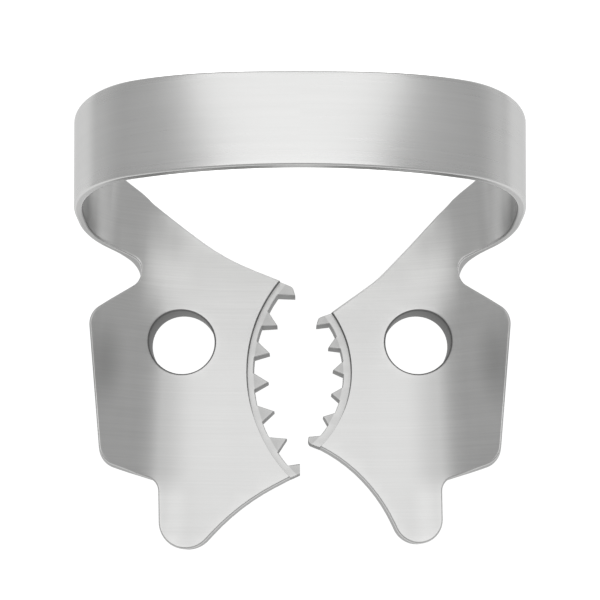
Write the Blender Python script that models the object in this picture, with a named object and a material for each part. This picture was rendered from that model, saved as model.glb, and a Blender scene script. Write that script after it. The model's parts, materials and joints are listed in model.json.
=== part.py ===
# A clamp that holds a rubber sheet round a tooth: one blank of spring steel, cut flat,
# with thick jaw plates and a thin bow, then bent into a ring that spreads and grips.
# Metres, Z up. X runs across the jaws, Y from the noses to the bow. The flat underside
# of the two plates lies at Z = 0, and the box of the clamp is centred in X and Y.
#
# The blank is drawn flat, one half at a time. "reach" is the distance along the sheet
# from the middle line between the jaws, outwards over the plate, up the leg and round
# to the middle of the bow. Lengths along Y are counted from the line of the two holes.
import math

import bmesh
import bpy
import numpy as np
from mathutils import Vector
from mathutils.geometry import delaunay_2d_cdt

# The sheet
PLATE_THICKNESS = 0.00145
BOW_THICKNESS = 0.0005
RIM_ROUNDING = 0.00018
HOLE_ROUNDING = 0.0002

# The bow, measured over its outer face
BOW_HEIGHT = 0.01298
BOW_FRONT_WIDTH = 0.02629
BOW_BACK_WIDTH = 0.02713
BOW_BAND = 0.005525
BOW_FRONT = 0.006415
CROWN_RADIUS = 0.0306
SHOULDER_RADIUS = 0.00592

# The bends between the plate and the bow, measured at the middle of the sheet
PLATE_FLAT = 0.004
PLATE_CURL_RADIUS = 0.0176
PLATE_CURL = math.radians(14.0)
FOLD_RADIUS = 0.0066
WING_SLOPE = math.radians(30.0)
HEEL_RADIUS = 0.0032

# The reaches between which the sheet thins towards the bow, and the Y it thins behind
THIN_START = 0.0083
THIN_END = 0.0124
THIN_BACK = 0.0021

# The two holes for the forceps
HOLE_PLACE = 0.00729
HOLE_DIAMETER = 0.00399

# The notch between leg and wing, and the wing: corners as (reach, Y), and fillets
LEG_TOP = (0.0161, BOW_FRONT)
LEG_TOP_FILLET = 0.01
LEG_BEND = (0.01155, 0.00556)
LEG_BEND_FILLET = 0.006
NECK = (0.00924, 0.0045)
NECK_FILLET = 0.0011
WING_BACK = (0.01327, 0.00117)
WING_BACK_FILLET = 0.0014
WING_FRONT = (0.01195, -0.00741)
WING_FRONT_FILLET = 0.0013
NOSE_ROOT = (0.00833, -0.00842)
NOSE_ROOT_FILLET = 0.0008

# The noses, rounded lobes at the front of the plates
LEFT_NOSE_END = -0.01223
LEFT_NOSE_SIDE = 0.00808
LEFT_NOSE_INNER = 0.00587
LEFT_NOSE_RADIUS = 0.0017
LEFT_NOSE_BEND = (0.00358, -0.00973)
LEFT_NOSE_BEND_FILLET = 0.013
RIGHT_NOSE_END = -0.01193
RIGHT_NOSE_SIDE = 0.00823
RIGHT_NOSE_INNER = 0.00593
RIGHT_NOSE_RADIUS = 0.00152
RIGHT_NOSE_BEND = (0.00412, -0.00786)
RIGHT_NOSE_BEND_FILLET = 0.0095

# The back edge of each plate and leg, from the jaw out to the bow
LEFT_BACK_BEND = (0.0047, 0.00555)
LEFT_BACK_BEND_FILLET = 0.016
LEFT_LEG_BEND = (0.0092, 0.00883)
LEFT_LEG_BEND_FILLET = 0.008
RIGHT_BACK_BEND = (0.00488, 0.00416)
RIGHT_BACK_BEND_FILLET = 0.008
RIGHT_LEG_BEND = (0.0092, 0.00866)
RIGHT_LEG_BEND_FILLET = 0.008
BACK_TOP_REACH = 0.014
BACK_TOP_FILLET = 0.005

# The jaws: the step in each plate is an arc round a centre on the far side of the
# middle line, the ledge in front of it is thinner, and the teeth stand on the ledge
JAW_STEP = 0.00035
STEP_RAMP = 0.00006
LEFT_JAW_RADIUS = 0.00931
LEFT_JAW_CENTRE = (-0.00603, -0.00163)
LEFT_TEETH = 7
LEFT_FIRST_TOOTH = math.radians(37.6)
LEFT_TOOTH_PITCH = math.radians(13.2)
LEFT_END_GAP = 0.0005
LEFT_LEDGE = 0.0004
LEFT_BACK_TOOTH = 0.00092
LEFT_FRONT_TOOTH = 0.0009
LEFT_BACK_FLANK = 0.00063
LEFT_FRONT_FLANK = 0.00042
LEFT_END_FLANK = 0.00064
RIGHT_JAW_RADIUS = 0.00658
RIGHT_JAW_CENTRE = (-0.00341, -0.0017)
RIGHT_TEETH = 6
RIGHT_FIRST_TOOTH = math.radians(33.8)
RIGHT_TOOTH_PITCH = math.radians(15.5)
RIGHT_END_GAP = 0.0002
RIGHT_LEDGE = 0.00048
RIGHT_BACK_TOOTH = 0.00076
RIGHT_FRONT_TOOTH = 0.00048
RIGHT_BACK_FLANK = 0.00053
RIGHT_FRONT_FLANK = 0.00031
RIGHT_END_FLANK = 0.00038
TOOTH_DROOP = 0.00014
END_TOOTH_SHOULDER = 0.00034
END_TOOTH_HEEL = 0.000085
END_TOOTH_FILLET = 0.00028

# Past the hole, the run of sheet over which the cut edges come to lean with the bend,
# how far those of a wing do so, as a share of its slope, and how far in front of the
# neck and behind it the edge takes to turn from the wing's lean to the leg's
LEAN_RUN = 0.0014
WING_LEAN = 0.4
LEAN_BLEND = 0.0009

# How finely arcs and bends are divided
ARC_STEP = math.radians(10.0)
BEND_STEP = math.radians(7.5)
CROWN_STEP = math.radians(2.5)
FIRST_RING = 0.3
STATION_OVERRUN = 0.0005
THINNING_LINES = 4
MITRE_LIMIT = 2.0
JOIN_DISTANCE = 3e-6
HAIR = 1e-9

# The finish
STEEL = (0.62, 0.62, 0.61, 1.0)
ROUGHNESS = 0.32
SHARP_EDGE = math.radians(40.0)

LEFT = {
    "side": -1.0,
    "nose_end": LEFT_NOSE_END,
    "nose_side": LEFT_NOSE_SIDE,
    "nose_inner": LEFT_NOSE_INNER,
    "nose_radius": LEFT_NOSE_RADIUS,
    "nose_bend": LEFT_NOSE_BEND + (LEFT_NOSE_BEND_FILLET,),
    "back_bends": [
        LEFT_BACK_BEND + (LEFT_BACK_BEND_FILLET,),
        LEFT_LEG_BEND + (LEFT_LEG_BEND_FILLET,),
    ],
    "jaw_radius": LEFT_JAW_RADIUS,
    "jaw_centre": LEFT_JAW_CENTRE,
    "teeth": LEFT_TEETH,
    "first_tooth": LEFT_FIRST_TOOTH,
    "pitch": LEFT_TOOTH_PITCH,
    "ledge": LEFT_LEDGE,
    "back_tooth": LEFT_BACK_TOOTH,
    "front_tooth": LEFT_FRONT_TOOTH,
    "end_gap": LEFT_END_GAP,
    "back_flank": LEFT_BACK_FLANK,
    "front_flank": LEFT_FRONT_FLANK,
    "end_flank": LEFT_END_FLANK,
}
RIGHT = {
    "side": 1.0,
    "nose_end": RIGHT_NOSE_END,
    "nose_side": RIGHT_NOSE_SIDE,
    "nose_inner": RIGHT_NOSE_INNER,
    "nose_radius": RIGHT_NOSE_RADIUS,
    "nose_bend": RIGHT_NOSE_BEND + (RIGHT_NOSE_BEND_FILLET,),
    "back_bends": [
        RIGHT_BACK_BEND + (RIGHT_BACK_BEND_FILLET,),
        RIGHT_LEG_BEND + (RIGHT_LEG_BEND_FILLET,),
    ],
    "jaw_radius": RIGHT_JAW_RADIUS,
    "jaw_centre": RIGHT_JAW_CENTRE,
    "teeth": RIGHT_TEETH,
    "first_tooth": RIGHT_FIRST_TOOTH,
    "pitch": RIGHT_TOOTH_PITCH,
    "ledge": RIGHT_LEDGE,
    "back_tooth": RIGHT_BACK_TOOTH,
    "front_tooth": RIGHT_FRONT_TOOTH,
    "end_gap": RIGHT_END_GAP,
    "back_flank": RIGHT_BACK_FLANK,
    "front_flank": RIGHT_FRONT_FLANK,
    "end_flank": RIGHT_END_FLANK,
}


def clear_scene():
    for thing in list(bpy.data.objects):
        bpy.data.objects.remove(thing, do_unlink=True)


def smooth_step(t):
    t = np.clip(t, 0.0, 1.0)
    return t * t * (3.0 - 2.0 * t)


# The bent line of the sheet, from the middle of the jaws to the middle of the bow

def bend_pieces():
    """Pieces of the middle line of the sheet, from the plate outwards.

    Each piece is (radius or None, length or turn): a straight run, or an arc that
    turns the sheet up and back over the plates.
    """
    half = BOW_THICKNESS / 2
    crown = CROWN_RADIUS - half
    shoulder = SHOULDER_RADIUS - half
    widest = BOW_FRONT_WIDTH / 2 - half
    crown_turn = math.asin((widest - shoulder) / (crown - shoulder))
    fold_end = (PLATE_FLAT + PLATE_CURL_RADIUS * math.sin(PLATE_CURL)
                + FOLD_RADIUS * (math.sin(WING_SLOPE) - math.sin(PLATE_CURL)))
    heel_span = HEEL_RADIUS * (1.0 - math.sin(WING_SLOPE))
    leg = (widest - fold_end - heel_span) / math.cos(WING_SLOPE)
    rise = (PLATE_CURL_RADIUS * (1.0 - math.cos(PLATE_CURL))
            + FOLD_RADIUS * (math.cos(PLATE_CURL) - math.cos(WING_SLOPE))
            + leg * math.sin(WING_SLOPE) + HEEL_RADIUS * math.cos(WING_SLOPE)
            + shoulder * math.cos(crown_turn) + crown * (1.0 - math.cos(crown_turn)))
    side = BOW_HEIGHT - half - PLATE_THICKNESS / 2 - rise
    return [
        (None, PLATE_FLAT),
        (PLATE_CURL_RADIUS, PLATE_CURL),
        (FOLD_RADIUS, WING_SLOPE - PLATE_CURL),
        (None, leg),
        (HEEL_RADIUS, math.pi / 2 - WING_SLOPE),
        (None, side),
        (shoulder, math.pi / 2 - crown_turn),
        (crown, crown_turn),
    ]


PIECES = bend_pieces()
LEG, HEEL, _, SHOULDER, CROWN = range(len(PIECES) - 5, len(PIECES))


def piece_length(piece):
    radius, amount = piece
    return amount if radius is None else radius * amount


STARTS = [sum(piece_length(piece) for piece in PIECES[:index]) for index in range(len(PIECES) + 1)]
HALF_LENGTH = STARTS[-1]


def bent_line(reach, wing):
    """X, Z and slope of the middle of the sheet at each reach; a wing stays straight."""
    x = np.zeros_like(reach)
    z = np.full_like(reach, PLATE_THICKNESS / 2)
    slope = np.zeros_like(reach)
    for index, (radius, amount) in enumerate(PIECES):
        travel = np.maximum(reach - STARTS[index], 0.0)
        bent = np.minimum(travel, piece_length(PIECES[index]))
        straight = travel if index == LEG else 0.0
        travel = np.where(wing & (index >= LEG), straight, bent)
        if radius is None:
            x += travel * np.cos(slope)
            z += travel * np.sin(slope)
        else:
            turned = slope + travel / radius
            x += radius * (np.sin(turned) - np.sin(slope))
            z += radius * (np.cos(slope) - np.cos(turned))
            slope = turned
    return x, z, slope


def sheet_thickness(reach, y):
    """Full thickness on the plates and wings, thinning behind the holes to the bow's."""
    outward = smooth_step((reach - THIN_START) / (THIN_END - THIN_START))
    backward = smooth_step((y - THIN_BACK) / (NECK[1] - THIN_BACK))
    return PLATE_THICKNESS + (BOW_THICKNESS - PLATE_THICKNESS) * outward * backward


def form(points, height):
    """Bend flat points (signed reach, Y), each at a height over the middle of the sheet."""
    reach = np.abs(points[:, 0])
    side = np.sign(points[:, 0])
    y = points[:, 1]
    wing = (y < NECK[1]) & (reach > NECK[0])
    x, z, slope = bent_line(reach, wing)
    # The holes and edges of the plate are cut square to the table, not to its curl.
    hole_edge = HOLE_PLACE + HOLE_DIAMETER / 2
    lean = slope * smooth_step((reach - hole_edge) / LEAN_RUN)
    lean *= WING_LEAN + (1.0 - WING_LEAN) * smooth_step((y - NECK[1] + LEAN_BLEND) / (2 * LEAN_BLEND))
    # The faces keep their distance from the middle of the sheet, however an edge leans.
    height = height / np.cos(slope - lean)
    x -= height * np.sin(lean)
    z += height * np.cos(lean)
    # The sides and shoulders of the bow open a little towards its back edge.
    opening = (BOW_BACK_WIDTH - BOW_FRONT_WIDTH) / 2 * (y - BOW_FRONT) / BOW_BAND
    opening *= smooth_step((reach - STARTS[HEEL]) / (STARTS[SHOULDER] - STARTS[HEEL]))
    opening *= smooth_step((HALF_LENGTH - reach) / (HALF_LENGTH - STARTS[CROWN]))
    opening = np.where(wing, 0.0, opening)
    x += opening * np.sin(slope)
    z -= opening * np.cos(slope)
    middle = (BOW_FRONT + BOW_BAND + min(LEFT_NOSE_END, RIGHT_NOSE_END)) / 2
    return np.stack([side * x, y - middle, z], axis=1)


# The outline of the flat blank

def rounded_path(corners):
    """Points along a path of (x, y, fillet radius) corners, each fillet an arc.

    Two fillets that share a short stretch are made smaller until both fit on it.
    """
    places = [Vector(corner[:2]) for corner in corners]
    sides = [(after - before).normalized() for before, after in zip(places, places[1:])]
    rooms = [(after - before).length for before, after in zip(places, places[1:])]
    setbacks = [0.0] * len(corners)
    half_angles = [math.pi / 2] * len(corners)
    for index in range(1, len(corners) - 1):
        half_angles[index] = (-sides[index - 1]).angle(sides[index]) / 2
        setbacks[index] = corners[index][2] / math.tan(half_angles[index])
    fits = [min(1.0, room / max(near + far, room))
            for room, near, far in zip(rooms, setbacks, setbacks[1:])]

    points = []
    for index, place in enumerate(places):
        if setbacks[index] == 0.0:
            points.append(place)
            continue
        setback = setbacks[index] * min(fits[index - 1], fits[index])
        before, after = -sides[index - 1], sides[index]
        reach = setback / math.cos(half_angles[index])
        centre = place + (before + after).normalized() * reach
        first = place + before * setback - centre
        turn = first.angle_signed(place + after * setback - centre)
        count = max(2, math.ceil(abs(turn) / ARC_STEP))
        for step in range(count + 1):
            cosine, sine = math.cos(turn * step / count), math.sin(turn * step / count)
            points.append(centre + Vector((first.x * cosine + first.y * sine,
                                           first.y * cosine - first.x * sine)))
    ahead = points[1:] + [points[-1] + Vector((1.0, 0.0))]
    return [point for point, after in zip(points, ahead) if (after - point).length > JOIN_DISTANCE]


def on_jaw(half, angle, depth):
    """A point at an angle round the jaw's centre, at a depth inside its step."""
    radius = half["jaw_radius"] - depth
    centre_x, centre_y = half["jaw_centre"]
    return (centre_x + radius * math.cos(angle), centre_y + radius * math.sin(angle))


def tooth_angles(half):
    """Angles of the tooth tips, from the back end, which stands a little apart."""
    root_radius = half["jaw_radius"] - half["ledge"]
    second = half["first_tooth"] - half["pitch"] - half["end_gap"] / root_radius
    return [half["first_tooth"]] + [second - half["pitch"] * k for k in range(half["teeth"] - 1)]


def jaw_path(half):
    """The toothed edge of one jaw, from its front end to its back end."""
    root_radius = half["jaw_radius"] - half["ledge"]
    back_flank = half["back_flank"] / root_radius
    shoulder = END_TOOTH_SHOULDER / root_radius
    angles = tooth_angles(half)
    first, last = angles[0], angles[-1]
    front_shoulder = half["ledge"] + half["front_tooth"] / 2
    back_shoulder = half["ledge"] + half["back_tooth"] / 2

    corners = [on_jaw(half, last, 0.0) + (0.0,),
               on_jaw(half, last - shoulder, front_shoulder) + (END_TOOTH_FILLET,)]
    for tooth in reversed(range(half["teeth"])):
        angle = angles[tooth]
        share = tooth / max(half["teeth"] - 1, 1)
        length = half["back_tooth"] + (half["front_tooth"] - half["back_tooth"]) * share
        flank = half["front_flank"] if tooth > 0 else half["end_flank"]
        if tooth < half["teeth"] - 1:
            front_foot = angle - flank / root_radius
            gap_middle = (front_foot + angles[tooth + 1] + back_flank) / 2
            corners.append(on_jaw(half, gap_middle, half["ledge"]) + (0.0,))
            corners.append(on_jaw(half, front_foot, half["ledge"]) + (0.0,))
        corners.append(on_jaw(half, angle, half["ledge"] + length) + (0.0,))
        if tooth > 0:
            corners.append(on_jaw(half, angle + back_flank, half["ledge"]) + (0.0,))
    corners.append(on_jaw(half, first + shoulder, back_shoulder) + (END_TOOTH_FILLET,))
    corners.append(on_jaw(half, first + END_TOOTH_HEEL / root_radius, 0.0) + (0.0,))
    return corners


def half_outline(half):
    """One half of the outline, from the front edge of the bow to its back edge."""
    corners = [
        (HALF_LENGTH, BOW_FRONT, 0.0),
        LEG_TOP + (LEG_TOP_FILLET,),
        LEG_BEND + (LEG_BEND_FILLET,),
        NECK + (NECK_FILLET,),
        WING_BACK + (WING_BACK_FILLET,),
        WING_FRONT + (WING_FRONT_FILLET,),
        NOSE_ROOT + (NOSE_ROOT_FILLET,),
        (half["nose_side"], half["nose_end"], half["nose_radius"]),
        (half["nose_inner"], half["nose_end"], half["nose_radius"]),
        half["nose_bend"],
    ]
    corners += jaw_path(half)
    corners += half["back_bends"]
    corners.append((BACK_TOP_REACH, BOW_FRONT + BOW_BAND, BACK_TOP_FILLET))
    corners.append((HALF_LENGTH, BOW_FRONT + BOW_BAND, 0.0))
    points = rounded_path(corners)
    return np.array([(half["side"] * point.x, point.y) for point in points])


def hole_outline(side, radius):
    count = round(2 * math.pi / ARC_STEP)
    angles = np.arange(count) * 2 * math.pi / count
    return np.stack([side * HOLE_PLACE + radius * np.cos(angles), radius * np.sin(angles)], axis=1)


# The solid

def inset_path(path, distance, side):
    """An open path moved into the sheet, which lies on its left going round the half."""
    run = np.diff(path, axis=0)
    run /= np.linalg.norm(run, axis=1, keepdims=True)
    normal = np.stack([-run[:, 1], run[:, 0]], axis=1) * side
    first = np.vstack([normal[:1], normal])
    last = np.vstack([normal, normal[-1:]])
    middle = first + last
    middle /= np.linalg.norm(middle, axis=1, keepdims=True)
    lengthening = 1.0 / np.sum(middle * first, axis=1, keepdims=True)
    return path + middle * distance * np.minimum(lengthening, MITRE_LIMIT)


def distance_to_path(points, path):
    """The shortest distance from each point to the segments of a path."""
    start = path[:-1]
    run = np.diff(path, axis=0)
    length = np.sum(run * run, axis=1)
    offset = points[:, None, :] - start[None, :, :]
    along = np.clip(np.sum(offset * run, axis=2) / length, 0.0, 1.0)
    gap = offset - along[:, :, None] * run
    return np.sqrt(np.min(np.sum(gap * gap, axis=2), axis=1))


def inside(points, loop):
    """Even-odd test of points against a closed loop."""
    start = loop
    end = np.roll(loop, -1, axis=0)
    x, y = points[:, :1], points[:, 1:]
    crosses = (start[:, 1] > y) != (end[:, 1] > y)
    rise = np.where(end[:, 1] == start[:, 1], 1.0, end[:, 1] - start[:, 1])
    meet = start[:, 0] + (y - start[:, 1]) / rise * (end[:, 0] - start[:, 0])
    return np.sum(crosses & (x < meet), axis=1) % 2 == 1


def rounding(distance, radius):
    """How far the face falls away at a distance from a rounded rim."""
    left = np.clip(radius - distance, 0.0, radius)
    return radius - np.sqrt(radius * radius - left * left)


def bend_stations():
    """Reaches at which the sheet is divided, so that each bend is a fair curve."""
    stations = []
    for index, piece in enumerate(PIECES):
        radius, amount = piece
        stations.append(STARTS[index])
        if radius is None:
            continue
        step = CROWN_STEP if index == CROWN else BEND_STEP
        count = math.ceil(amount / step)
        stations += [STARTS[index] + radius * amount * k / count for k in range(1, count)]
    return stations


class FlatDrawing:
    """Lines of the flat blank, collected as vertices and edges for one triangulation."""

    def __init__(self):
        self.vertices = []
        self.edges = []

    def add(self, points, closed=False):
        first = len(self.vertices)
        self.vertices += [Vector(point) for point in points]
        count = len(points)
        self.edges += [(first + k, first + k + 1) for k in range(count - 1)]
        if closed:
            self.edges.append((first + count - 1, first))


def jaw_arc(half, depth):
    """The arc of the jaw's step, long enough to cross the outline at both ends."""
    margin = 2 * END_TOOTH_SHOULDER / half["jaw_radius"]
    angles = tooth_angles(half)
    first, last = angles[0] + margin, angles[-1] - margin
    count = math.ceil((first - last) / (ARC_STEP / 2))
    points = [on_jaw(half, last + (first - last) * k / count, depth) for k in range(count + 1)]
    return [(half["side"] * x, y) for x, y in points]


def triangulate(half, outline, plain_rims, holes):
    """Divide the flat half into triangles that follow every rim, step and bend line."""
    drawing = FlatDrawing()
    drawing.add(outline, closed=True)
    for rim in plain_rims:
        for share in (FIRST_RING, 1.0):
            drawing.add(inset_path(rim, share * RIM_ROUNDING, -half["side"]))
    for hole in holes:
        drawing.add(hole, closed=True)
    for depth in (0.0, STEP_RAMP):
        drawing.add(jaw_arc(half, depth))
    front = min(LEFT_NOSE_END, RIGHT_NOSE_END) - STATION_OVERRUN
    back = BOW_FRONT + BOW_BAND + STATION_OVERRUN
    for station in bend_stations():
        reach = half["side"] * station
        drawing.add([(reach, front), (reach, back)])
    for share in np.linspace(0.0, 1.0, THINNING_LINES):
        y = THIN_BACK + (NECK[1] - THIN_BACK) * share
        drawing.add([(half["side"] * THIN_START, y), (half["side"] * LEG_TOP[0], y)])
    vertices, _, faces, _, _, _ = delaunay_2d_cdt(
        drawing.vertices, drawing.edges, [], 0, JOIN_DISTANCE, False)
    points = np.array([tuple(vertex) for vertex in vertices])
    faces = np.array(faces)
    middles = points[faces].mean(axis=1)
    keep = inside(middles, outline) & ~inside(middles, holes[0])
    return points, faces[keep]


def half_blank(half):
    """Formed top and underside points of one half, its triangles and its wall edges."""
    outline = half_outline(half)
    depth = half["jaw_radius"] - np.hypot(half["side"] * outline[:, 0] - half["jaw_centre"][0],
                                          outline[:, 1] - half["jaw_centre"][1])
    jaw = np.flatnonzero(depth > -HAIR)
    plain_rims = [outline[:jaw[0] + 1], outline[jaw[-1]:]]
    hole_radius = HOLE_DIAMETER / 2
    holes = [hole_outline(half["side"], hole_radius),
             hole_outline(half["side"], hole_radius + HOLE_ROUNDING)]
    points, faces = triangulate(half, outline, plain_rims, holes)

    rim_gap = np.minimum(*[distance_to_path(points, rim) for rim in plain_rims])
    hole_gap = np.hypot(np.abs(points[:, 0]) - HOLE_PLACE, points[:, 1]) - hole_radius
    reach = np.abs(points[:, 0])
    depth = half["jaw_radius"] - np.hypot(reach - half["jaw_centre"][0],
                                          points[:, 1] - half["jaw_centre"][1])
    worn = np.where(depth > STEP_RAMP / 2, 0.0, rounding(rim_gap, RIM_ROUNDING))
    worn = np.maximum(worn, rounding(np.maximum(hole_gap, 0.0), HOLE_ROUNDING))
    step = JAW_STEP * np.clip(depth / STEP_RAMP, 0.0, 1.0)
    droop = TOOTH_DROOP * np.clip((depth - half["ledge"]) / half["back_tooth"], 0.0, 1.0)
    half_sheet = sheet_thickness(reach, points[:, 1]) / 2
    top = form(points, half_sheet - np.maximum(worn, step + droop))
    underside = form(points, worn - half_sheet)

    directed = np.vstack([faces[:, [0, 1]], faces[:, [1, 2]], faces[:, [2, 0]]])
    known = {tuple(edge) for edge in directed.tolist()}
    rims = [edge for edge in directed.tolist() if (edge[1], edge[0]) not in known]
    joint = reach > HALF_LENGTH - JOIN_DISTANCE
    walls = [(a, b) for a, b in rims if not (joint[a] and joint[b])]
    return top, underside, faces, walls


def steel_material():
    material = bpy.data.materials.new("brushed_steel")
    material.use_nodes = True
    shader = material.node_tree.nodes["Principled BSDF"]
    shader.inputs["Base Color"].default_value = STEEL
    shader.inputs["Metallic"].default_value = 1.0
    shader.inputs["Roughness"].default_value = ROUGHNESS
    material.diffuse_color = STEEL
    return material


def build_clamp():
    points = []
    faces = []
    for half in (LEFT, RIGHT):
        top, underside, triangles, walls = half_blank(half)
        first = len(points)
        lower = first + len(top)
        points += top.tolist() + underside.tolist()
        faces += [(first + a, first + b, first + c) for a, b, c in triangles.tolist()]
        faces += [(lower + c, lower + b, lower + a) for a, b, c in triangles.tolist()]
        faces += [(lower + a, lower + b, first + b, first + a) for a, b in walls]
    mesh = bpy.data.meshes.new("dam_clamp")
    mesh.from_pydata(points, [], faces)
    solid = bmesh.new()
    solid.from_mesh(mesh)
    loose = [vertex for vertex in solid.verts if not vertex.link_faces]
    bmesh.ops.delete(solid, geom=loose, context="VERTS")
    middle = [vertex for vertex in solid.verts
              if abs(vertex.co.x) < JOIN_DISTANCE and vertex.co.z > BOW_HEIGHT / 2]
    bmesh.ops.remove_doubles(solid, verts=middle, dist=JOIN_DISTANCE)
    bmesh.ops.recalc_face_normals(solid, faces=solid.faces)
    solid.to_mesh(mesh)
    solid.free()
    mesh.shade_smooth()
    mesh.set_sharp_from_angle(angle=SHARP_EDGE)
    mesh.materials.append(steel_material())
    clamp = bpy.data.objects.new("dam_clamp", mesh)
    bpy.context.collection.objects.link(clamp)
    return clamp


clear_scene()
build_clamp()
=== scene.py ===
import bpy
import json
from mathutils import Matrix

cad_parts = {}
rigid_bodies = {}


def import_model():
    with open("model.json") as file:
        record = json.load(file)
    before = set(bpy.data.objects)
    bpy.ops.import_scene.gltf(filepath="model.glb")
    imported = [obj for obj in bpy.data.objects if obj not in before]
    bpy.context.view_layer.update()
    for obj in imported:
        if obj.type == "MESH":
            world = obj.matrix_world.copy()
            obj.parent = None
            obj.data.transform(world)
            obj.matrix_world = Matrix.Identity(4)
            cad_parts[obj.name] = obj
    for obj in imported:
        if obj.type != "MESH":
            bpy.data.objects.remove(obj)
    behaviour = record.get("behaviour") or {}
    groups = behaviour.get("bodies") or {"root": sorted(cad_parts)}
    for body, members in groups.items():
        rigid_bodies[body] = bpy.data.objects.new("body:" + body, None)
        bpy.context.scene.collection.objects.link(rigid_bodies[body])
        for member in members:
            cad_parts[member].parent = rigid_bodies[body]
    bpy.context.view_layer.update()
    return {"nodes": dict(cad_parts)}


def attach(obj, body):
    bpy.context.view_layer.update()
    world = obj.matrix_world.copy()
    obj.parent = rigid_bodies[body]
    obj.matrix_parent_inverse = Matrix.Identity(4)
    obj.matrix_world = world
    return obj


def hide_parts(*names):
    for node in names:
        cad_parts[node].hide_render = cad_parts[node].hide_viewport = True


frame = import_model()

import json
import math

import bmesh
import bpy
import numpy as np
from mathutils import Vector
from mathutils.geometry import delaunay_2d_cdt

mm = 0.001
print("frame loaded:", sorted(frame["nodes"]))

# A rubber dam clamp pressed from one flat blank of spring steel. Everything below is in
# millimetres until it goes into a mesh. A place on the blank has two parameters: its reach,
# measured along the sheet from the middle line of the jaws out over the plate and up to the
# middle of the bow, and its y, measured from the line of the two forceps holes.

sheet = {
    "plate": 1.45,              # thickness of the jaw plates and wings
    "bow": 0.5,                 # thickness of the bow
    "rim": 0.13,                # rounding of the tumbled edges
    "holeRim": 0.15,
    "toothRim": 0.045,
    "height": 12.98,
    "frontWidth": 26.29,
    "backWidth": 27.13,
    "band": 5.525,              # width of the bow's band
    "front": 6.415,             # y of its front edge
    "crown": 30.6,              # outer radius of the bow's crown and of its shoulders
    "shoulder": 5.92,
    "flat": 4.0,                # flat run of each plate, then its curl, then the fold
    "curlRadius": 17.6,
    "curl": math.radians(14),
    "fold": 6.6,
    "slope": math.radians(30),  # slope of legs and wings
    "heel": 3.2,
    "thinReach": (8.3, 12.4),   # where the sheet thins from plate to bow
    "thinBack": 2.1,            # and the y it thins behind
    "hole": 7.29,               # reach of each hole's middle
    "holeWidth": 3.99,
    "lean": 1.4,                # run past the hole in which cut edges start to lean
    "wingLean": 0.4,            # share of the slope by which the edges of a wing lean
    "leanBlend": 0.9,           # how far from the neck the wing's lean turns into the leg's
}

# corners as (reach, y, fillet)
edge = {
    "legTop": (16.1, sheet["front"], 10.0),
    "legBend": (11.55, 5.56, 6.0),
    "neck": (9.24, 4.5, 1.1),
    "wingBack": (13.27, 1.17, 1.4),
    "wingFront": (11.95, -7.41, 1.3),
    "noseRoot": (8.33, -8.42, 0.8),
    "backTop": (14.0, sheet["front"] + sheet["band"], 5.0),
}

leftJaw = {
    "side": -1,
    "nose": (8.08, 5.87, -12.23, 1.7),  # outer side, inner side, end, rounding
    "noseBend": (3.58, -9.73, 13.0),
    "backBends": [(4.7, 5.55, 16.0), (9.2, 8.83, 8.0)],
    "radius": 9.31,                     # the step's arc and its centre
    "centre": (-6.03, -1.63),
    "teeth": 7,
    "first": math.radians(37.6),        # angle of the tooth at the back, and from one to the next
    "pitch": math.radians(13.2),
    "endGap": 0.5,                      # extra room after the first tooth
    "ledge": 0.4,                       # width of the ledge between the step and the teeth
    "toothBack": 0.92,                  # tooth length at the back and at the front
    "toothFront": 0.9,
    "backFlank": 0.63,                  # run of a tooth's long flank and of its steep one
    "frontFlank": 0.42,
    "endFlank": 0.64,                   # and of the first tooth's steep one
}

rightJaw = {
    "side": 1,
    "nose": (8.23, 5.93, -11.93, 1.52),
    "noseBend": (4.12, -7.86, 9.5),
    "backBends": [(4.88, 4.16, 8.0), (9.2, 8.66, 8.0)],
    "radius": 6.58,
    "centre": (-3.41, -1.7),
    "teeth": 6,
    "first": math.radians(33.8),
    "pitch": math.radians(15.5),
    "endGap": 0.2,
    "ledge": 0.48,
    "toothBack": 0.76,
    "toothFront": 0.48,
    "backFlank": 0.53,
    "frontFlank": 0.31,
    "endFlank": 0.38,
}

tooth = {
    "stepDepths": [-0.02, -0.008, 0.0, 0.01, 0.036, 0.044, 0.056],  # across the jaw's step
    "stepDrops": [0.0, 0.012, 0.045, 0.1, 0.3, 0.335, 0.35],        # and how far it has dropped
    "sharpDepth": 0.03,         # past it edges have the teeth's rounding
    "creases": (0.02, 0.06),    # past the ledge, where the teeth start to fall
    "droop": 0.14,              # fall of a tooth from the ledge to its tip
    "endShoulder": 0.34,
    "endHeel": 0.085,
    "endFillet": 0.28,
}

fineness = {
    "arc": math.radians(4),     # turn of the outline between two points
    "bend": math.radians(1.5),  # turn of the sheet between two lines
    "crown": math.radians(0.5),
    "straight": 1.2,            # run between two lines where the sheet is straight
    "rows": 0.6,                # and between two lines across
    "overrun": 1.0,             # how far lines run past the outline
    "rings": 5,                 # rings of a rounded rim
    "toothRings": 3,
    "holeRings": 4,
    "holePoints": 120,
    "stepPoints": 90,
    "join": 0.002,              # points closer than this are one
}


# 0 below 0, 1 above 1 and 3 t^2 - 2 t^3 between them
def smoothStep(t):
    t = np.clip(t, 0, 1)
    return t * t * (3 - 2 * t)


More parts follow.
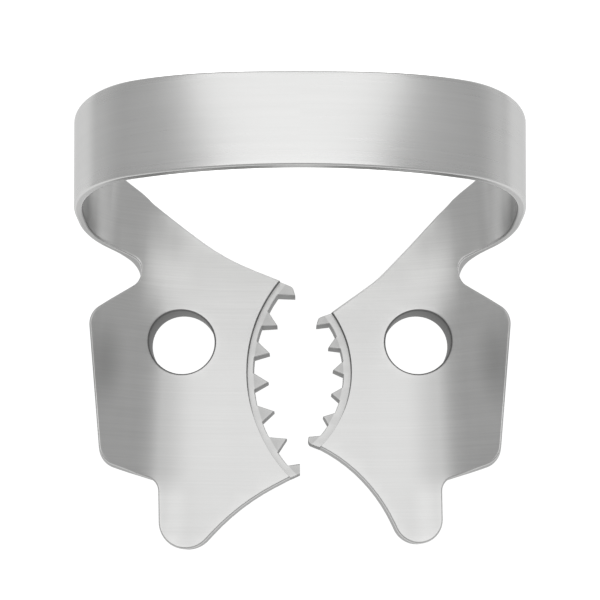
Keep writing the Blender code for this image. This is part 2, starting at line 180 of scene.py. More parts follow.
# The bent line of the sheet: straight runs (None, length) and arcs (radius, turn) in turn.
# Its leg is as long as the bow's width asks for, and its side as tall as the bow's height does.
def bentRuns(s):
    half = s["bow"] / 2
    crown = s["crown"] - half
    shoulder = s["shoulder"] - half
    widest = s["frontWidth"] / 2 - half
    crownTurn = math.asin((widest - shoulder) / (crown - shoulder))
    foldEnd = (s["flat"] + s["curlRadius"] * math.sin(s["curl"])
               + s["fold"] * (math.sin(s["slope"]) - math.sin(s["curl"])))
    leg = (widest - foldEnd - s["heel"] * (1 - math.sin(s["slope"]))) / math.cos(s["slope"])
    rise = (s["curlRadius"] * (1 - math.cos(s["curl"]))
            + s["fold"] * (math.cos(s["curl"]) - math.cos(s["slope"]))
            + leg * math.sin(s["slope"]) + s["heel"] * math.cos(s["slope"])
            + shoulder * math.cos(crownTurn) + crown * (1 - math.cos(crownTurn)))
    side = s["height"] - half - s["plate"] / 2 - rise
    return [(None, s["flat"]), (s["curlRadius"], s["curl"]), (s["fold"], s["slope"] - s["curl"]),
            (None, leg), (s["heel"], math.pi / 2 - s["slope"]), (None, side),
            (shoulder, math.pi / 2 - crownTurn), (crown, crownTurn)]


runs = bentRuns(sheet)
lengths = [amount if radius is None else radius * amount for radius, amount in runs]
starts = [sum(lengths[:k]) for k in range(len(lengths) + 1)]
legRun, heelRun, _, shoulderRun, crownRun = range(3, 8)
halfLength = starts[-1]
backEdge = sheet["front"] + sheet["band"]
frontEnd = min(leftJaw["nose"][2], rightJaw["nose"][2])
middleY = (backEdge + frontEnd) / 2


# x, z and slope of the sheet's middle at every reach, adding up run after run; a wing goes
# straight on from the fold
def bentLine(reach, wing):
    x = np.zeros_like(reach)
    z = np.full_like(reach, sheet["plate"] / 2)
    slope = np.zeros_like(reach)
    for k, (radius, amount) in enumerate(runs):
        travel = np.maximum(reach - starts[k], 0)
        bent = np.minimum(travel, lengths[k])
        travel = np.where(wing & (k >= legRun), travel if k == legRun else 0, bent)
        if radius is None:
            x += travel * np.cos(slope)
            z += travel * np.sin(slope)
        else:
            turned = slope + travel / radius
            x += radius * (np.sin(turned) - np.sin(slope))
            z += radius * (np.cos(slope) - np.cos(turned))
            slope = turned
    return x, z, slope


def onWing(reach, y):
    return (y < edge["neck"][1]) & (reach > edge["neck"][0])


# half the thickness, which falls from the plates' to the bow's with reach, behind the holes only
def halfSheet(reach, y):
    first, last = sheet["thinReach"]
    thin = smoothStep((reach - first) / (last - first))
    thin = thin * smoothStep((y - sheet["thinBack"]) / (edge["neck"][1] - sheet["thinBack"]))
    return (sheet["plate"] + (sheet["bow"] - sheet["plate"]) * thin) / 2


# A place (reach, y) at a height over the sheet's middle goes to: the bent line, plus the
# height along a line that leans by the sheet's slope on the legs, by a share of it on the
# wings and not at all near the holes, plus the bow's opening, which grows from its front
# edge to its back edge. The height is stretched so that the thickness stays the same.
def bendSheet(side, reach, y, height):
    wing = onWing(reach, y)
    x, z, slope = bentLine(reach, wing)
    lean = slope * smoothStep((reach - sheet["hole"] - sheet["holeWidth"] / 2) / sheet["lean"])
    legShare = smoothStep((y - edge["neck"][1] + sheet["leanBlend"]) / (2 * sheet["leanBlend"]))
    lean = lean * (sheet["wingLean"] + (1 - sheet["wingLean"]) * legShare)
    height = height / np.cos(slope - lean)
    x = x - height * np.sin(lean)
    z = z + height * np.cos(lean)
    opening = (sheet["backWidth"] - sheet["frontWidth"]) / 2 * (y - sheet["front"]) / sheet["band"]
    opening = opening * smoothStep((reach - starts[heelRun]) / (starts[shoulderRun] - starts[heelRun]))
    opening = opening * smoothStep((halfLength - reach) / (halfLength - starts[crownRun]))
    opening = np.where(wing, 0, opening)
    x = x + opening * np.sin(slope)
    z = z - opening * np.cos(slope)
    return np.stack([side * x, y - middleY, z], axis=1)


# A path through (x, y, fillet) corners: each corner is cut back by fillet / tan(half its
# angle), and an arc of the fillet's radius goes from one cut to the other.
def filletedPath(corners, step):
    place = np.array([corner[:2] for corner in corners], float)
    fillet = np.array([corner[2] for corner in corners], float)
    run = np.diff(place, axis=0)
    room = np.linalg.norm(run, axis=1)
    way = run / room[:, None]
    turn = np.zeros(len(place))
    turn[1:-1] = np.arctan2(way[:-1, 0] * way[1:, 1] - way[:-1, 1] * way[1:, 0],
                            np.sum(way[:-1] * way[1:], axis=1))
    setback = fillet * np.abs(np.tan(turn / 2))
    fit = np.minimum(1, room / np.maximum(setback[:-1] + setback[1:], room))
    setback[1:-1] *= np.minimum(fit[:-1], fit[1:])
    pieces = []
    for k, point in enumerate(place):
        if setback[k] == 0:
            pieces.append(point[None])
            continue
        first = point - way[k - 1] * setback[k]
        radius = setback[k] / math.tan(abs(turn[k]) / 2)
        sign = math.copysign(1, turn[k])
        centre = first + sign * radius * np.array([-way[k - 1, 1], way[k - 1, 0]])
        angle = np.linspace(0, turn[k], max(3, math.ceil(abs(turn[k]) / step) + 1))
        c, s = np.cos(angle)[:, None], np.sin(angle)[:, None]
        arm = (first - centre)[None]
        pieces.append(centre + arm * c + np.stack([-arm[:, 1], arm[:, 0]], axis=1) * s)
    path = np.vstack(pieces)
    apart = np.linalg.norm(np.diff(path, axis=0), axis=1) > fineness["join"]
    return path[np.append(apart, True)]


# Depth on a jaw is measured from its step's arc towards the arc's centre, over the ledge and
# the teeth.
def onJaw(jaw, angle, depth):
    radius = jaw["radius"] - depth
    return (jaw["centre"][0] + radius * math.cos(angle), jaw["centre"][1] + radius * math.sin(angle))


def depthOnJaw(jaw, place):
    return jaw["radius"] - np.hypot(place[:, 0] - jaw["centre"][0], place[:, 1] - jaw["centre"][1])


# the arc at a depth, a little longer than the toothed edge
def arcOnJaw(jaw, depth):
    angles = toothAngles(jaw)
    margin = 2 * tooth["endShoulder"] / jaw["radius"]
    sweep = np.linspace(angles[-1] - margin, angles[0] + margin, fineness["stepPoints"])
    arm = jaw["radius"] - depth
    return np.stack([jaw["centre"][0] + arm * np.cos(sweep),
                     jaw["centre"][1] + arm * np.sin(sweep)], axis=1)


def toothAngles(jaw):
    root = jaw["radius"] - jaw["ledge"]
    second = jaw["first"] - jaw["pitch"] - jaw["endGap"] / root
    return [jaw["first"]] + [second - jaw["pitch"] * k for k in range(jaw["teeth"] - 1)]


# The toothed edge: each tooth rises from the ledge along a long back flank and falls along a
# steeper front flank; the two end teeth have rounded shoulders.
def jawCorners(jaw):
    root = jaw["radius"] - jaw["ledge"]
    backFlank = jaw["backFlank"] / root
    shoulder = tooth["endShoulder"] / root
    angles = toothAngles(jaw)
    corners = [onJaw(jaw, angles[-1], 0) + (0,),
               onJaw(jaw, angles[-1] - shoulder, jaw["ledge"] + jaw["toothFront"] / 2)
               + (tooth["endFillet"],)]
    for k in reversed(range(jaw["teeth"])):
        share = k / (jaw["teeth"] - 1)
        length = jaw["toothBack"] + (jaw["toothFront"] - jaw["toothBack"]) * share
        flank = jaw["frontFlank"] if k else jaw["endFlank"]
        if k < jaw["teeth"] - 1:
            foot = angles[k] - flank / root
            middle = (foot + angles[k + 1] + backFlank) / 2
            corners.append(onJaw(jaw, middle, jaw["ledge"]) + (0,))
            corners.append(onJaw(jaw, foot, jaw["ledge"]) + (0,))
        corners.append(onJaw(jaw, angles[k], jaw["ledge"] + length) + (0,))
        if k:
            corners.append(onJaw(jaw, angles[k] + backFlank, jaw["ledge"]) + (0,))
    corners.append(onJaw(jaw, angles[0] + shoulder, jaw["ledge"] + jaw["toothBack"] / 2)
                   + (tooth["endFillet"],))
    corners.append(onJaw(jaw, angles[0] + tooth["endHeel"] / root, 0) + (0,))
    return corners


def halfOutline(jaw):
    outer, inner, end, rounding = jaw["nose"]
    corners = [(halfLength, sheet["front"], 0), edge["legTop"], edge["legBend"], edge["neck"],
               edge["wingBack"], edge["wingFront"], edge["noseRoot"],
               (outer, end, rounding), (inner, end, rounding), jaw["noseBend"]]
    corners += jawCorners(jaw) + jaw["backBends"] + [edge["backTop"], (halfLength, backEdge, 0)]
    return filletedPath(corners, fineness["arc"])


# The path moved into the sheet by a distance: each point goes along the mean of its two
# normals, further at sharp corners so that both sides keep the distance, up to a limit.
def insetPath(path, distance):
    leastCosine = 0.4
    run = np.diff(path, axis=0)
    run /= np.linalg.norm(run, axis=1, keepdims=True)
    normal = np.stack([run[:, 1], -run[:, 0]], axis=1)
    first = np.vstack([normal[:1], normal])
    last = np.vstack([normal, normal[-1:]])
    middle = first + last
    middle /= np.linalg.norm(middle, axis=1, keepdims=True)
    longer = 1 / np.maximum(np.sum(middle * first, axis=1, keepdims=True), leastCosine)
    return path + middle * distance * longer


# distance from each point to the path, a batch of points at a time to spare memory
def distanceTo(points, path):
    batch = 2000
    gaps = []
    run = np.diff(path, axis=0)
    size = np.sum(run * run, axis=1)
    for part in np.array_split(points, max(1, len(points) // batch)):
        offset = part[:, None] - path[None, :-1]
        along = np.clip(np.sum(offset * run, axis=2) / size, 0, 1)
        gap = offset - along[..., None] * run
        gaps.append(np.sqrt(np.min(np.sum(gap * gap, axis=2), axis=1)))
    return np.concatenate(gaps)


# a point is inside where the loop crosses its level an odd number of times to the right of it
def insideLoop(points, loop):
    end = np.roll(loop, -1, axis=0)
    x, y = points[:, :1], points[:, 1:]
    crosses = (loop[:, 1] > y) != (end[:, 1] > y)
    rise = np.where(end[:, 1] == loop[:, 1], 1, end[:, 1] - loop[:, 1])
    meet = loop[:, 0] + (y - loop[:, 1]) / rise * (end[:, 0] - loop[:, 0])
    return np.sum(crosses & (x < meet), axis=1) % 2 == 1


# fall of a rounded edge at a distance from it: a quarter circle
def roundOver(distance, radius):
    left = np.clip(radius - distance, 0, radius)
    return radius - np.sqrt(radius * radius - left * left)


# distances at which a rounded edge is divided, evenly by angle
def ringDistances(radius, count):
    return radius * (1 - np.cos(np.arange(1, count + 1) / count * math.pi / 2))


def holeCircle(radius):
    count = fineness["holePoints"]
    angle = np.arange(count) * 2 * math.pi / count
    return np.stack([sheet["hole"] + radius * np.cos(angle), radius * np.sin(angle)], axis=1)


def stationLines():
    stations = []
    for k, (radius, amount) in enumerate(runs):
        if radius is None:
            count = max(1, round(lengths[k] / fineness["straight"]))
        else:
            count = math.ceil(amount / (fineness["crown"] if k == crownRun else fineness["bend"]))
        stations.append(starts[k] + lengths[k] * np.arange(count) / count)
    return np.concatenate(stations)


# Every line that divides a half, drawn flat as (path, closed): the outline, the rings of its
# rounded rims, the hole and its rings, the jaw's step and creases, rows and bend lines.
def flatLines(jaw, outline, frontRim, toothRim, backRim):
    paths = [(outline, True)]
    for distance in ringDistances(sheet["rim"], fineness["rings"]):
        paths.append((insetPath(frontRim, distance), False))
        paths.append((insetPath(backRim, distance), False))
    for distance in ringDistances(sheet["toothRim"], fineness["toothRings"]):
        paths.append((insetPath(toothRim, distance), False))
    paths.append((holeCircle(sheet["holeWidth"] / 2), True))
    for distance in ringDistances(sheet["holeRim"], fineness["holeRings"]):
        paths.append((holeCircle(sheet["holeWidth"] / 2 + distance), True))
    for depth in tooth["stepDepths"] + [jaw["ledge"] + crease for crease in tooth["creases"]]:
        paths.append((arcOnJaw(jaw, depth), False))
    rows, overrun = fineness["rows"], fineness["overrun"]
    for y in np.arange(frontEnd + rows / 2, backEdge, rows):
        ends = [(-overrun, y), (halfLength + overrun, y)]
        paths.append((np.array(ends), False))
    for reach in stationLines():
        ends = [(reach, frontEnd - overrun / 2), (reach, backEdge + overrun / 2)]
        paths.append((np.array(ends), False))
    return paths


# the half divided into triangles along all its lines, and kept inside the outline and off the hole
def divideFlat(paths, outline):
    points, lines, count = [], [], 0
    for path, closed in paths:
        first = count + np.arange(len(path))
        pairs = np.stack([first, np.roll(first, -1)], axis=1)
        lines.append(pairs if closed else pairs[:-1])
        points.append(path)
        count += len(path)
    flat = [Vector(point) for point in np.vstack(points).tolist()]
    edges = [tuple(pair) for pair in np.vstack(lines).tolist()]
    verts, _, tris, _, _, _ = delaunay_2d_cdt(flat, edges, [], 0, fineness["join"], False)
    place = np.array([tuple(v) for v in verts])
    tris = np.array(tris)
    middles = place[tris].mean(axis=1)
    holeSide = sheet["holeWidth"] / 2 * math.cos(math.pi / fineness["holePoints"])
    hole = np.hypot(middles[:, 0] - sheet["hole"], middles[:, 1]) < holeSide
    tris = tris[insideLoop(middles, outline) & ~hole]
    used, tris = np.unique(tris, return_inverse=True)
    return place[used], tris.reshape(-1, 3)


# triangle sides that only one triangle has, without those where the halves meet
def openSides(tris, reach):
    sides = np.vstack([tris[:, [0, 1]], tris[:, [1, 2]], tris[:, [2, 0]]])
    _, back, uses = np.unique(np.sort(sides, axis=1), axis=0, return_inverse=True, return_counts=True)
    rims = sides[uses[back.ravel()] == 1]
    joint = reach > halfLength - fineness["join"]
    return rims[~(joint[rims[:, 0]] & joint[rims[:, 1]])]


# how dull the faces are, from 0 for the brushed ones to 1 for the punched walls of the holes; the same
# numbers also paint shade on the step, the ledge, the tooth tops, the holes' lips, the rims and inside
# the heels
dullnessAndShade = {
    "holes": 1.0,
    "lip": 0.65,                # share of a hole's rounded rim that is as dull as its wall, which paints shade on the rim
    "teeth": 0.85,
    # painted shade on the tooth tops and on the ledge
    "toothTop": 0.3,
    "ledge": 0.12,
    "step": (0.3, 0.85),        # painted shade on the step, towards the noses, and from there back
    "stepPlace": (-4, -1),
    "stepFall": 0.05,           # a face that falls by more belongs to the step
    "rim": (0.55, 0.3),         # of the plates and the bow: dullness of the cut edges and painted shade
    "rimReach": (12.4, 13.8),
    "inside": (0, 0.5, 0.5, 0),  # painted shade inside the heels
    "insideReach": (12.4, 13.8, 16.0, 18.5),
    "near": 0.01,               # a wall closer than this to a rim belongs to it
}


# painted shade on the top faces: on the step, inside the heels, on the holes' lips, the tooth tops and
# the ledge
def topDullnessAndShade(jaw, tris, reach, y, depth, step, holeGap):
    d = dullnessAndShade
    onStep = np.ptp(step[tris], axis=1) > d["stepFall"]
    ofStep = onStep * np.interp(y[tris].mean(axis=1), d["stepPlace"], d["step"])
    ofInside = np.interp(reach[tris].mean(axis=1), d["insideReach"], d["inside"])
    ofLip = (holeGap[tris].max(axis=1) < d["lip"] * sheet["holeRim"]) * d["holes"]
    leastDepth = depth[tris].min(axis=1)
    ofTooth = (leastDepth > jaw["ledge"]) * d["toothTop"]
    ofLedge = (leastDepth > tooth["stepDepths"][-1] - fineness["join"] / 2) * d["ledge"]
    return np.max([ofStep, ofInside, ofLip, ofTooth, ofLedge], axis=0)


# dullness of the cut walls, with painted shade on the rims of the plates and the bow
def wallDullnessAndShade(rims, reach, toothGap, holeGap):
    d = dullnessAndShade
    ofRim = np.interp(reach[rims[:, 0]], d["rimReach"], d["rim"])
    nearTeeth = toothGap[rims].max(axis=1) < d["near"]
    nearHole = holeGap[rims].max(axis=1) < d["near"]
    return np.where(nearHole, d["holes"], np.where(nearTeeth, d["teeth"], ofRim))


plainFaces = {
    "worn": 5e-5,               # a place that is worn by more belongs to a rounded rim
    "fall": 1e-3,               # and one that has dropped by more, to the step
    "reach": 12.6,              # beyond it only the mesh's own normals count
    "stepShare": (0.9, 0),      # the step has its share towards the noses only
    "stepPlace": (-5, -1),
}


# the bent sheet's normal (-sin slope, 0, cos slope), as long as the share that a place has of it:
# all of it on a plain face, some on the step and none on a rim
def plainNormals(jaw, reach, y, worn, step):
    p = plainFaces
    slope = bentLine(reach, onWing(reach, y))[2]
    onStep = (step > p["fall"]) & (step < tooth["stepDrops"][-1] - p["fall"])
    share = np.where(onStep, np.interp(y, p["stepPlace"], p["stepShare"]), 1)
    share = share * (worn < p["worn"]) * (reach < p["reach"])
    normal = np.stack([-jaw["side"] * np.sin(slope), np.zeros(len(reach)), np.cos(slope)], axis=1)
    return normal * share[:, None]


# One half of the clamp: the flat half is divided into triangles, then each point gets its
# heights over and under the sheet's middle, and the sheet is bent.
def buildHalf(jaw):
    outline = halfOutline(jaw)
    onArc = np.flatnonzero(depthOnJaw(jaw, outline) > -fineness["join"] / 2)
    frontRim = outline[:onArc[0] + 1]
    toothRim = outline[onArc[0]:onArc[-1] + 1]
    backRim = outline[onArc[-1]:]
    place, tris = divideFlat(flatLines(jaw, outline, frontRim, toothRim, backRim), outline)
    reach, y = place[:, 0], place[:, 1]
    depth = depthOnJaw(jaw, place)
    rimGap = np.minimum(distanceTo(place, frontRim), distanceTo(place, backRim))
    toothGap = distanceTo(place, toothRim)
    holeGap = np.maximum(np.hypot(reach - sheet["hole"], y) - sheet["holeWidth"] / 2, 0)
    worn = np.where(depth > tooth["sharpDepth"],
                    roundOver(np.minimum(rimGap, toothGap), sheet["toothRim"]),
                    roundOver(rimGap, sheet["rim"]))
    worn = np.maximum(worn, roundOver(holeGap, sheet["holeRim"]))
    step = np.interp(depth, tooth["stepDepths"], tooth["stepDrops"])
    toothStart = jaw["ledge"] + tooth["creases"][0]
    fall = tooth["droop"] * np.clip((depth - toothStart) / jaw["toothBack"], 0, 1)
    half = halfSheet(reach, y)
    top = bendSheet(jaw["side"], reach, y, half - worn - step - fall)
    under = bendSheet(jaw["side"], reach, y, worn - half)
    rims = openSides(tris, reach)
    n = len(place)
    walls = np.vstack([np.stack([rims[:, 0], rims[:, 1], rims[:, 1] + n], axis=1),
                       np.stack([rims[:, 0], rims[:, 1] + n, rims[:, 0] + n], axis=1)])
    polishWidth = 0.16
    polish = np.exp(-np.minimum(np.minimum(rimGap, toothGap * 2), holeGap) / polishWidth)
    # how dull each face is, with the painted shade that the same value carries
    ofTop = topDullnessAndShade(jaw, tris, reach, y, depth, step, holeGap)
    ofWall = wallDullnessAndShade(rims, reach, toothGap, holeGap)
    normal = plainNormals(jaw, reach, y, worn, step)
    return {
        "points": np.vstack([top, under]),
        "faces": np.vstack([tris, tris[:, ::-1] + n, walls[:, ::-1]]),
        "sheet": np.vstack([place, place]) * [jaw["side"], 1],
        "polish": np.concatenate([polish, polish]),
        "cut": np.concatenate([ofTop, np.zeros(len(tris)), ofWall, ofWall]),
        "normal": np.vstack([normal, -normal]),
    }


def addAttribute(mesh, name, kind, domain, field, values):
    attribute = mesh.attributes.new(name, kind, domain)
    attribute.data.foreach_set(field, values.ravel().astype(np.float32))


def readVectors(data):
    values = np.empty(3 * len(data), np.float32)
    data.foreach_get("vector", values)
    return values.reshape(-1, 3)


def buildClamp():
    halves = [buildHalf(leftJaw), buildHalf(rightJaw)]
    halves[1]["faces"] += len(halves[0]["points"])
    both = {name: np.concatenate([half[name] for half in halves]) for name in halves[0]}
    mesh = bpy.data.meshes.new("clampBody")
    mesh.from_pydata((both["points"] * mm).tolist(), [], both["faces"].tolist())
    uv = mesh.uv_layers.new(name="sheet")
    uv.data.foreach_set("uv", both["sheet"][both["faces"].ravel()].ravel().astype(np.float32))
    addAttribute(mesh, "polish", "FLOAT", "POINT", "value", both["polish"])
    # cut holds the faces' dullness and their painted shade
    addAttribute(mesh, "cut", "FLOAT", "FACE", "value", both["cut"])
    addAttribute(mesh, "plainNormal", "FLOAT_VECTOR", "POINT", "vector", both["normal"])
    # the halves are joined where they meet, in the middle of the bow
    solid = bmesh.new()
    solid.from_mesh(mesh)
    joint = fineness["join"] * mm
    high = sheet["height"] / 2 * mm
    meeting = [v for v in solid.verts if abs(v.co.x) < joint / 2 and v.co.z > high]
    bmesh.ops.remove_doubles(solid, verts=meeting, dist=joint)
    bmesh.ops.recalc_face_normals(solid, faces=solid.faces)
    openEdges = sum(1 for e in solid.edges if len(e.link_faces) != 2)
    solid.to_mesh(mesh)
    solid.free()
    mesh.shade_smooth()
    # shading takes the bent sheet's own normals in their shares, and the mesh's for the rest
    plainNormal = readVectors(mesh.attributes["plainNormal"].data)
    rest = 1 - np.linalg.norm(plainNormal, axis=1, keepdims=True)
    normals = plainNormal + readVectors(mesh.vertex_normals) * rest
    normals /= np.linalg.norm(normals, axis=1, keepdims=True)
    mesh.attributes.remove(mesh.attributes["plainNormal"])
    mesh.normals_split_custom_set_from_vertices(normals.tolist())
    body = bpy.data.objects.new("clamp_body", mesh)
    bpy.context.collection.objects.link(body)
    print("clamp body:", len(mesh.polygons), "triangles,", openEdges, "open edges")
    return body


# Shader sums are written as Python: a Wire is a socket's output, and arithmetic on it adds
# Math nodes.
class Wire:
    def __init__(self, tree, socket):
        self.tree = tree
        self.socket = socket

    def node(self, kind, settings, inputs, output=0):
        made = self.tree.nodes.new(kind)
        for name, value in settings.items():
            setattr(made, name, value)
        for name, value in inputs.items():
            if isinstance(value, Wire):
                self.tree.links.new(value.socket, made.inputs[name])
            else:
                made.inputs[name].default_value = value
        return Wire(self.tree, made.outputs[output])

    def math(self, operation, first, second=0.0):
        return self.node("ShaderNodeMath", {"operation": operation}, {0: first, 1: second})

    # one coordinate of a vector
    def axis(self, name):
        return self.node("ShaderNodeSeparateXYZ", {}, {0: self}, output=name)

    def length(self):
        return self.node("ShaderNodeVectorMath", {"operation": "LENGTH"}, {0: self}, output="Value")

    # a smooth change from one value to another while this wire goes from start to stop
    def ramp(self, start, stop, low=0.0, high=1.0):
        return self.node("ShaderNodeMapRange", {"interpolation_type": "SMOOTHSTEP"},
                         {"Value": self, "From Min": start, "From Max": stop,
                          "To Min": low, "To Max": high})

    def __add__(self, other):
        return self.math("ADD", self, other)

    def __radd__(self, other):
        return self.math("ADD", other, self)

    def __sub__(self, other):
        return self.math("SUBTRACT", self, other)

    def __rsub__(self, other):
        return self.math("SUBTRACT", other, self)

    def __mul__(self, other):
        return self.math("MULTIPLY", self, other)

    def __rmul__(self, other):
        return self.math("MULTIPLY", other, self)

    def __truediv__(self, other):
        return self.math("DIVIDE", self, other)

    def __rtruediv__(self, other):
        return self.math("DIVIDE", other, self)


# A place on the steel is its reach and its y on the blank. A painted shade or light is added to a tone
# of 1 where it is full, and a pair of places says where it starts and where it is full.
brushedSteel = {
    "base": (0.62, 0.62, 0.615),
    "dark": (0.52, 0.52, 0.516),
    "edgeTint": 0.78,
    "bowReach": (13.2, 16.0),   # where the plates' finish turns into the bow's
    "plateShade": 0.93,
    "cutShade": 0.6,            # how much darker the dullest cut faces and the deepest painted shade are
    "fineScale": (0.16, 9.0, 1),   # streaks per mm along the sheet and across it
    "fineDetail": 4.0,
    "fineRoughness": 0.6,
    "broadScale": (0.07, 2.6, 1),
    "cloudScale": 0.35,
    "detail": 2.0,              # of the broad streaks and the clouds
    "fineTone": (0.5, 1.2),     # share of the fine streaks in the tone of the bow, and of the plates
    "broadTone": 0.35,
    "cloudTone": 0.3,
    "polishTone": 0.1,
    "roughness": 0.3,
    "plateRoughness": 0.36,
    "polishedRoughness": 0.2,
    "cutRoughness": 0.6,
    "fineDulling": 0.14,        # share of the fine streaks in the roughness
    "cloudDulling": 0.06,
    "streakDepth": 0.08,
    "streakHeight": 0.00002,    # in metres
    "broadHeight": 0.6,         # height of the broad streaks against the fine ones
    "behindPaintedLight": 0.2,         # painted light on the plates behind the holes
    "behindReach": (6.5, 9.5),  # where it fades
    "behindPlace": (0.5, 4.5),
    "curlPaintedLightAndShade": (-0.14, 0.17, -0.1),  # painted shade on the curl in front of the holes, painted light behind them, painted shade on the leg
    "curlReach": ((6.3, 8.2), (8.8, 10.6)),
    "legPlace": (4.2, 7.0),
    # painted light on the noses
    "nosePaintedLight": 0.22,
    "noseReach": (6.3, 7.6),
    "nosePlace": (-9.6, -7.8),  # where it fades
    # painted shade on the wings
    "wingPaintedShade": -0.05,
    "wingReach": (9.5, 11.0),
    "wingPlace": (3.0, 5.0),    # where it fades
    # touches of painted shade and light: how much, the reach and y of the middle, and half the size in
    # both
    "wingPaintedShadeSpot": (-0.28, (12.15, -1.7), (1.6, 3.6)),
    "legPaintedLight": (0.23, (9.4, 6.0), (1.6, 5.5)),
    "heelPaintedShadeSpot": (-0.17, (15.0, 7.5), (2.4, 5.0)),
}


# one tone for every place: plate or bow, dull and with painted shade where cut, then the painted
# shades, lights and touches in turn
def steelTone(s, uv, cut, bow):
    # no wing reaches as far as the bow, so the reach alone tells them apart
    reach = uv.math("ABSOLUTE", uv.axis("X"))
    y = uv.axis("Y")
    # darker where cut, which also paints shade on the step, the ledge, the tooth tops, the holes' lips,
    # the rims and inside the heels
    tone = (s["plateShade"] + bow * (1 - s["plateShade"])) * (1 - cut * s["cutShade"])
    # painted light on the plates behind the holes
    tone = tone * (1 + y.ramp(*s["behindPlace"]) * reach.ramp(*s["behindReach"], s["behindPaintedLight"], 0.0))
    # painted shade on the curl in front of the holes and on the leg, painted light behind the holes
    front, back, leg = s["curlPaintedLightAndShade"]
    rise, end = s["curlReach"]
    curl = reach.ramp(*rise) * reach.ramp(*end, 1.0, 0.0)
    tone = tone * (1 + curl * (y.ramp(*s["behindPlace"], front, back)
                               + y.ramp(*s["legPlace"], 0.0, leg - back)))
    # painted light on the noses
    tone = tone * (1 + reach.ramp(*s["noseReach"]) * y.ramp(*s["nosePlace"], s["nosePaintedLight"], 0.0))
    # painted shade on the wings
    tone = tone * (1 + reach.ramp(*s["wingReach"]) * y.ramp(*s["wingPlace"], s["wingPaintedShade"], 0.0))
    # touches: painted shade on the wings and the heels, painted light on the leg by the neck
    for touch in ("wingPaintedShadeSpot", "legPaintedLight", "heelPaintedShadeSpot"):
        shade, (middleReach, middle), (halfReach, half) = s[touch]
        away = uv.node("ShaderNodeCombineXYZ", {},
                       {0: (reach - middleReach) / halfReach, 1: (y - middle) / half})
        tone = tone * (1 + away.length().ramp(0.0, 1.0, shade, 0.0))
    return tone


def makeSteel(s):
    material = bpy.data.materials.new("brushedSteel")
    material.use_nodes = True
    tree = material.node_tree
    shader = tree.nodes["Principled BSDF"]
    start = Wire(tree, shader.outputs[0])
    uv = start.node("ShaderNodeUVMap", {"uv_map": "sheet"}, {})
    polish = start.node("ShaderNodeAttribute", {"attribute_name": "polish"}, {}, output="Fac")
    # cut: dullness of cut faces and painted shade
    cut = start.node("ShaderNodeAttribute", {"attribute_name": "cut"}, {}, output="Fac")
    along = start.node("ShaderNodeMapping", {}, {"Vector": uv, "Scale": s["fineScale"]})
    wide = start.node("ShaderNodeMapping", {}, {"Vector": uv, "Scale": s["broadScale"]})
    fine = start.node("ShaderNodeTexNoise", {},
                      {"Vector": along, "Scale": 1.0, "Detail": s["fineDetail"],
                       "Roughness": s["fineRoughness"]})
    broad = start.node("ShaderNodeTexNoise", {}, {"Vector": wide, "Scale": 1.0, "Detail": s["detail"]})
    cloud = start.node("ShaderNodeTexNoise", {},
                       {"Vector": uv, "Scale": s["cloudScale"], "Detail": s["detail"]})
    bow = start.math("ABSOLUTE", uv.axis("X")).ramp(*s["bowReach"])
    onBow, onPlates = s["fineTone"]
    # noise has a mean of 0.5, so half of it is taken off before it gets its share
    shade = (0.5 + (fine - 0.5) * (onPlates + bow * (onBow - onPlates)) + (broad - 0.5) * s["broadTone"]
             + (cloud - 0.5) * s["cloudTone"] + polish * s["polishTone"])
    colour = start.node("ShaderNodeMix", {"data_type": "RGBA"},
                        {0: shade, 6: s["dark"] + (1,), 7: s["base"] + (1,)}, output=2)
    tone = steelTone(s, uv, cut, bow)
    grey = start.node("ShaderNodeCombineXYZ", {}, {0: tone, 1: tone, 2: tone})
    colour = start.node("ShaderNodeMix", {"data_type": "RGBA", "blend_type": "MULTIPLY"},
                        {0: 1.0, 6: colour, 7: grey}, output=2)
    rough = s["plateRoughness"] + bow * (s["roughness"] - s["plateRoughness"])
    rough = rough + (fine - 0.5) * s["fineDulling"] + (cloud - 0.5) * s["cloudDulling"]
    rough = rough + polish * (s["polishedRoughness"] - s["roughness"])
    rough = rough + cut * (s["cutRoughness"] - s["roughness"])
    bump = start.node("ShaderNodeBump", {},
                      {"Strength": s["streakDepth"], "Distance": s["streakHeight"],
                       "Height": fine + broad * s["broadHeight"]})
    tree.links.new(colour.socket, shader.inputs["Base Color"])
    tree.links.new(rough.socket, shader.inputs["Roughness"])
    tree.links.new(bump.socket, shader.inputs["Normal"])
    shader.inputs["Metallic"].default_value = 1.0
    shader.inputs["Specular Tint"].default_value = (s["edgeTint"],) * 3 + (1,)
    return material


camera = {
    "lens": 50.0,
    "sensor": 36.0,
    "place": (0.0, -12.82, 51.42),
    "tilt": math.radians(17.5),
    "clip": (0.001, 10.0),      # in metres
}


def makeCamera(c):
    data = bpy.data.cameras.new("camera")
    data.lens = c["lens"]
    data.sensor_width = c["sensor"]
    data.clip_start, data.clip_end = c["clip"]
    view = bpy.data.objects.new("camera", data)
    view.location = Vector(c["place"]) * mm
    view.rotation_euler = (c["tilt"], 0, 0)
    bpy.context.collection.objects.link(view)
    bpy.context.scene.camera = view


studio = {
    "floorSize": 6000,
    "floor": 0.2,
    "floorRoughness": 0.9,
    "floorGlow": 0.93,          # around the clamp
    "floorBehind": 0.8,         # added behind it, under the bow
    "floorBehindWidth": (7, 13),
    "floorBehindPlace": (6, 15),
    "floorFar": 0.42,           # glow that is left far away
    "floorFade": (45, 170),
    "world": 0.56,
    "horizon": 0.28,            # added to the world towards the horizon
    "horizonRise": 0.55,        # height of a direction at which nothing is added any more
    "horizonRight": 0.08,       # and how much more is added on the right
    # the softbox hangs flat over the clamp, a little behind it: place, size x, size y
    "softbox": ((-9, 110, 330), 280, 450),
    "softboxGlow": 0.79,
}


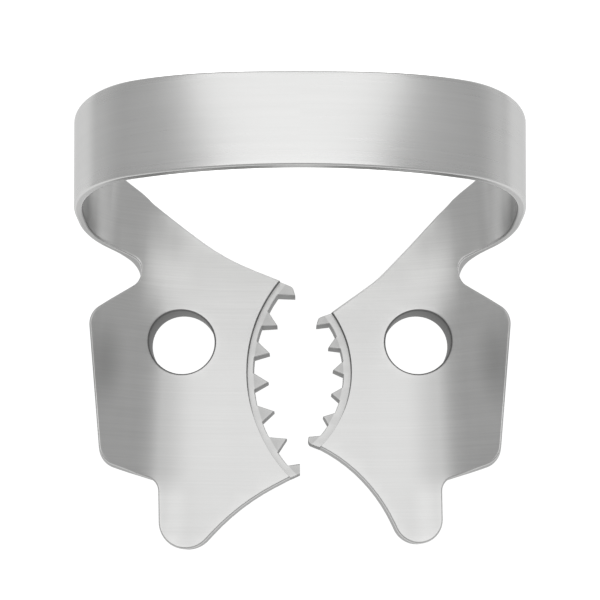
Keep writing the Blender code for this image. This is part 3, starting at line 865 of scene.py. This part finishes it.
def makeFloor(s):
    mesh = bpy.data.meshes.new("floor")
    half = s["floorSize"] / 2 * mm
    corners = [(-half, -half, 0), (half, -half, 0), (half, half, 0), (-half, half, 0)]
    mesh.from_pydata(corners, [], [(0, 1, 2, 3)])
    floor = bpy.data.objects.new("floor", mesh)
    bpy.context.collection.objects.link(floor)
    material = bpy.data.materials.new("paleFloor")
    material.use_nodes = True
    tree = material.node_tree
    shader = tree.nodes["Principled BSDF"]
    shader.inputs["Base Color"].default_value = (s["floor"],) * 3 + (1,)
    shader.inputs["Roughness"].default_value = s["floorRoughness"]
    # glow = what is left far away, plus a near part that fades with distance and is stronger
    # behind the clamp
    place = Wire(tree, tree.nodes.new("ShaderNodeTexCoord").outputs["Object"])
    aside = place.math("ABSOLUTE", place.axis("X"))
    inner, outer = s["floorBehindWidth"]
    first, last = s["floorBehindPlace"]
    behind = aside.ramp(inner * mm, outer * mm, s["floorBehind"], 0.0)
    behind = behind * place.axis("Y").ramp(first * mm, last * mm)
    near, far = s["floorFade"]
    fade = place.length().ramp(near * mm, far * mm, 1.0, 0.0)
    glow = s["floorFar"] + fade * (s["floorGlow"] - s["floorFar"] + behind)
    tree.links.new(glow.socket, shader.inputs["Emission Color"])
    shader.inputs["Emission Strength"].default_value = 1.0
    mesh.materials.append(material)


# the world is brighter towards the horizon, where a direction is level
def makeWorld(s):
    world = bpy.data.worlds.new("studio")
    bpy.context.scene.world = world
    world.use_nodes = True
    tree = world.node_tree
    way = Wire(tree, tree.nodes.new("ShaderNodeTexCoord").outputs["Generated"])
    rise = way.math("ABSOLUTE", way.axis("Z"))
    level = rise.ramp(0.0, s["horizonRise"], 1.0, 0.0)
    strength = s["world"] + level * (s["horizon"] + way.axis("X") * s["horizonRight"])
    background = tree.nodes["Background"]
    background.inputs["Color"].default_value = (1, 1, 1, 1)
    tree.links.new(strength.socket, background.inputs["Strength"])


def makeSoftbox(s):
    place, width, depth = s["softbox"]
    light = bpy.data.lights.new("softbox", "AREA")
    light.shape = "RECTANGLE"
    light.size = width * mm
    light.size_y = depth * mm
    # watts at which a lamp of this area adds the wanted brightness: 4 * area * brightness
    light.energy = 4 * light.size * light.size_y * s["softboxGlow"]
    lamp = bpy.data.objects.new("softbox", light)
    lamp.location = Vector(place) * mm
    bpy.context.collection.objects.link(lamp)


makeCamera(camera)
makeFloor(studio)
makeWorld(studio)
makeSoftbox(studio)
bpy.context.scene.view_settings.view_transform = "Standard"
print("camera and studio placed")
body = buildClamp()
body.data.materials.append(makeSteel(brushedSteel))
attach(body, "root")
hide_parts("dam_clamp")
print("steel on")
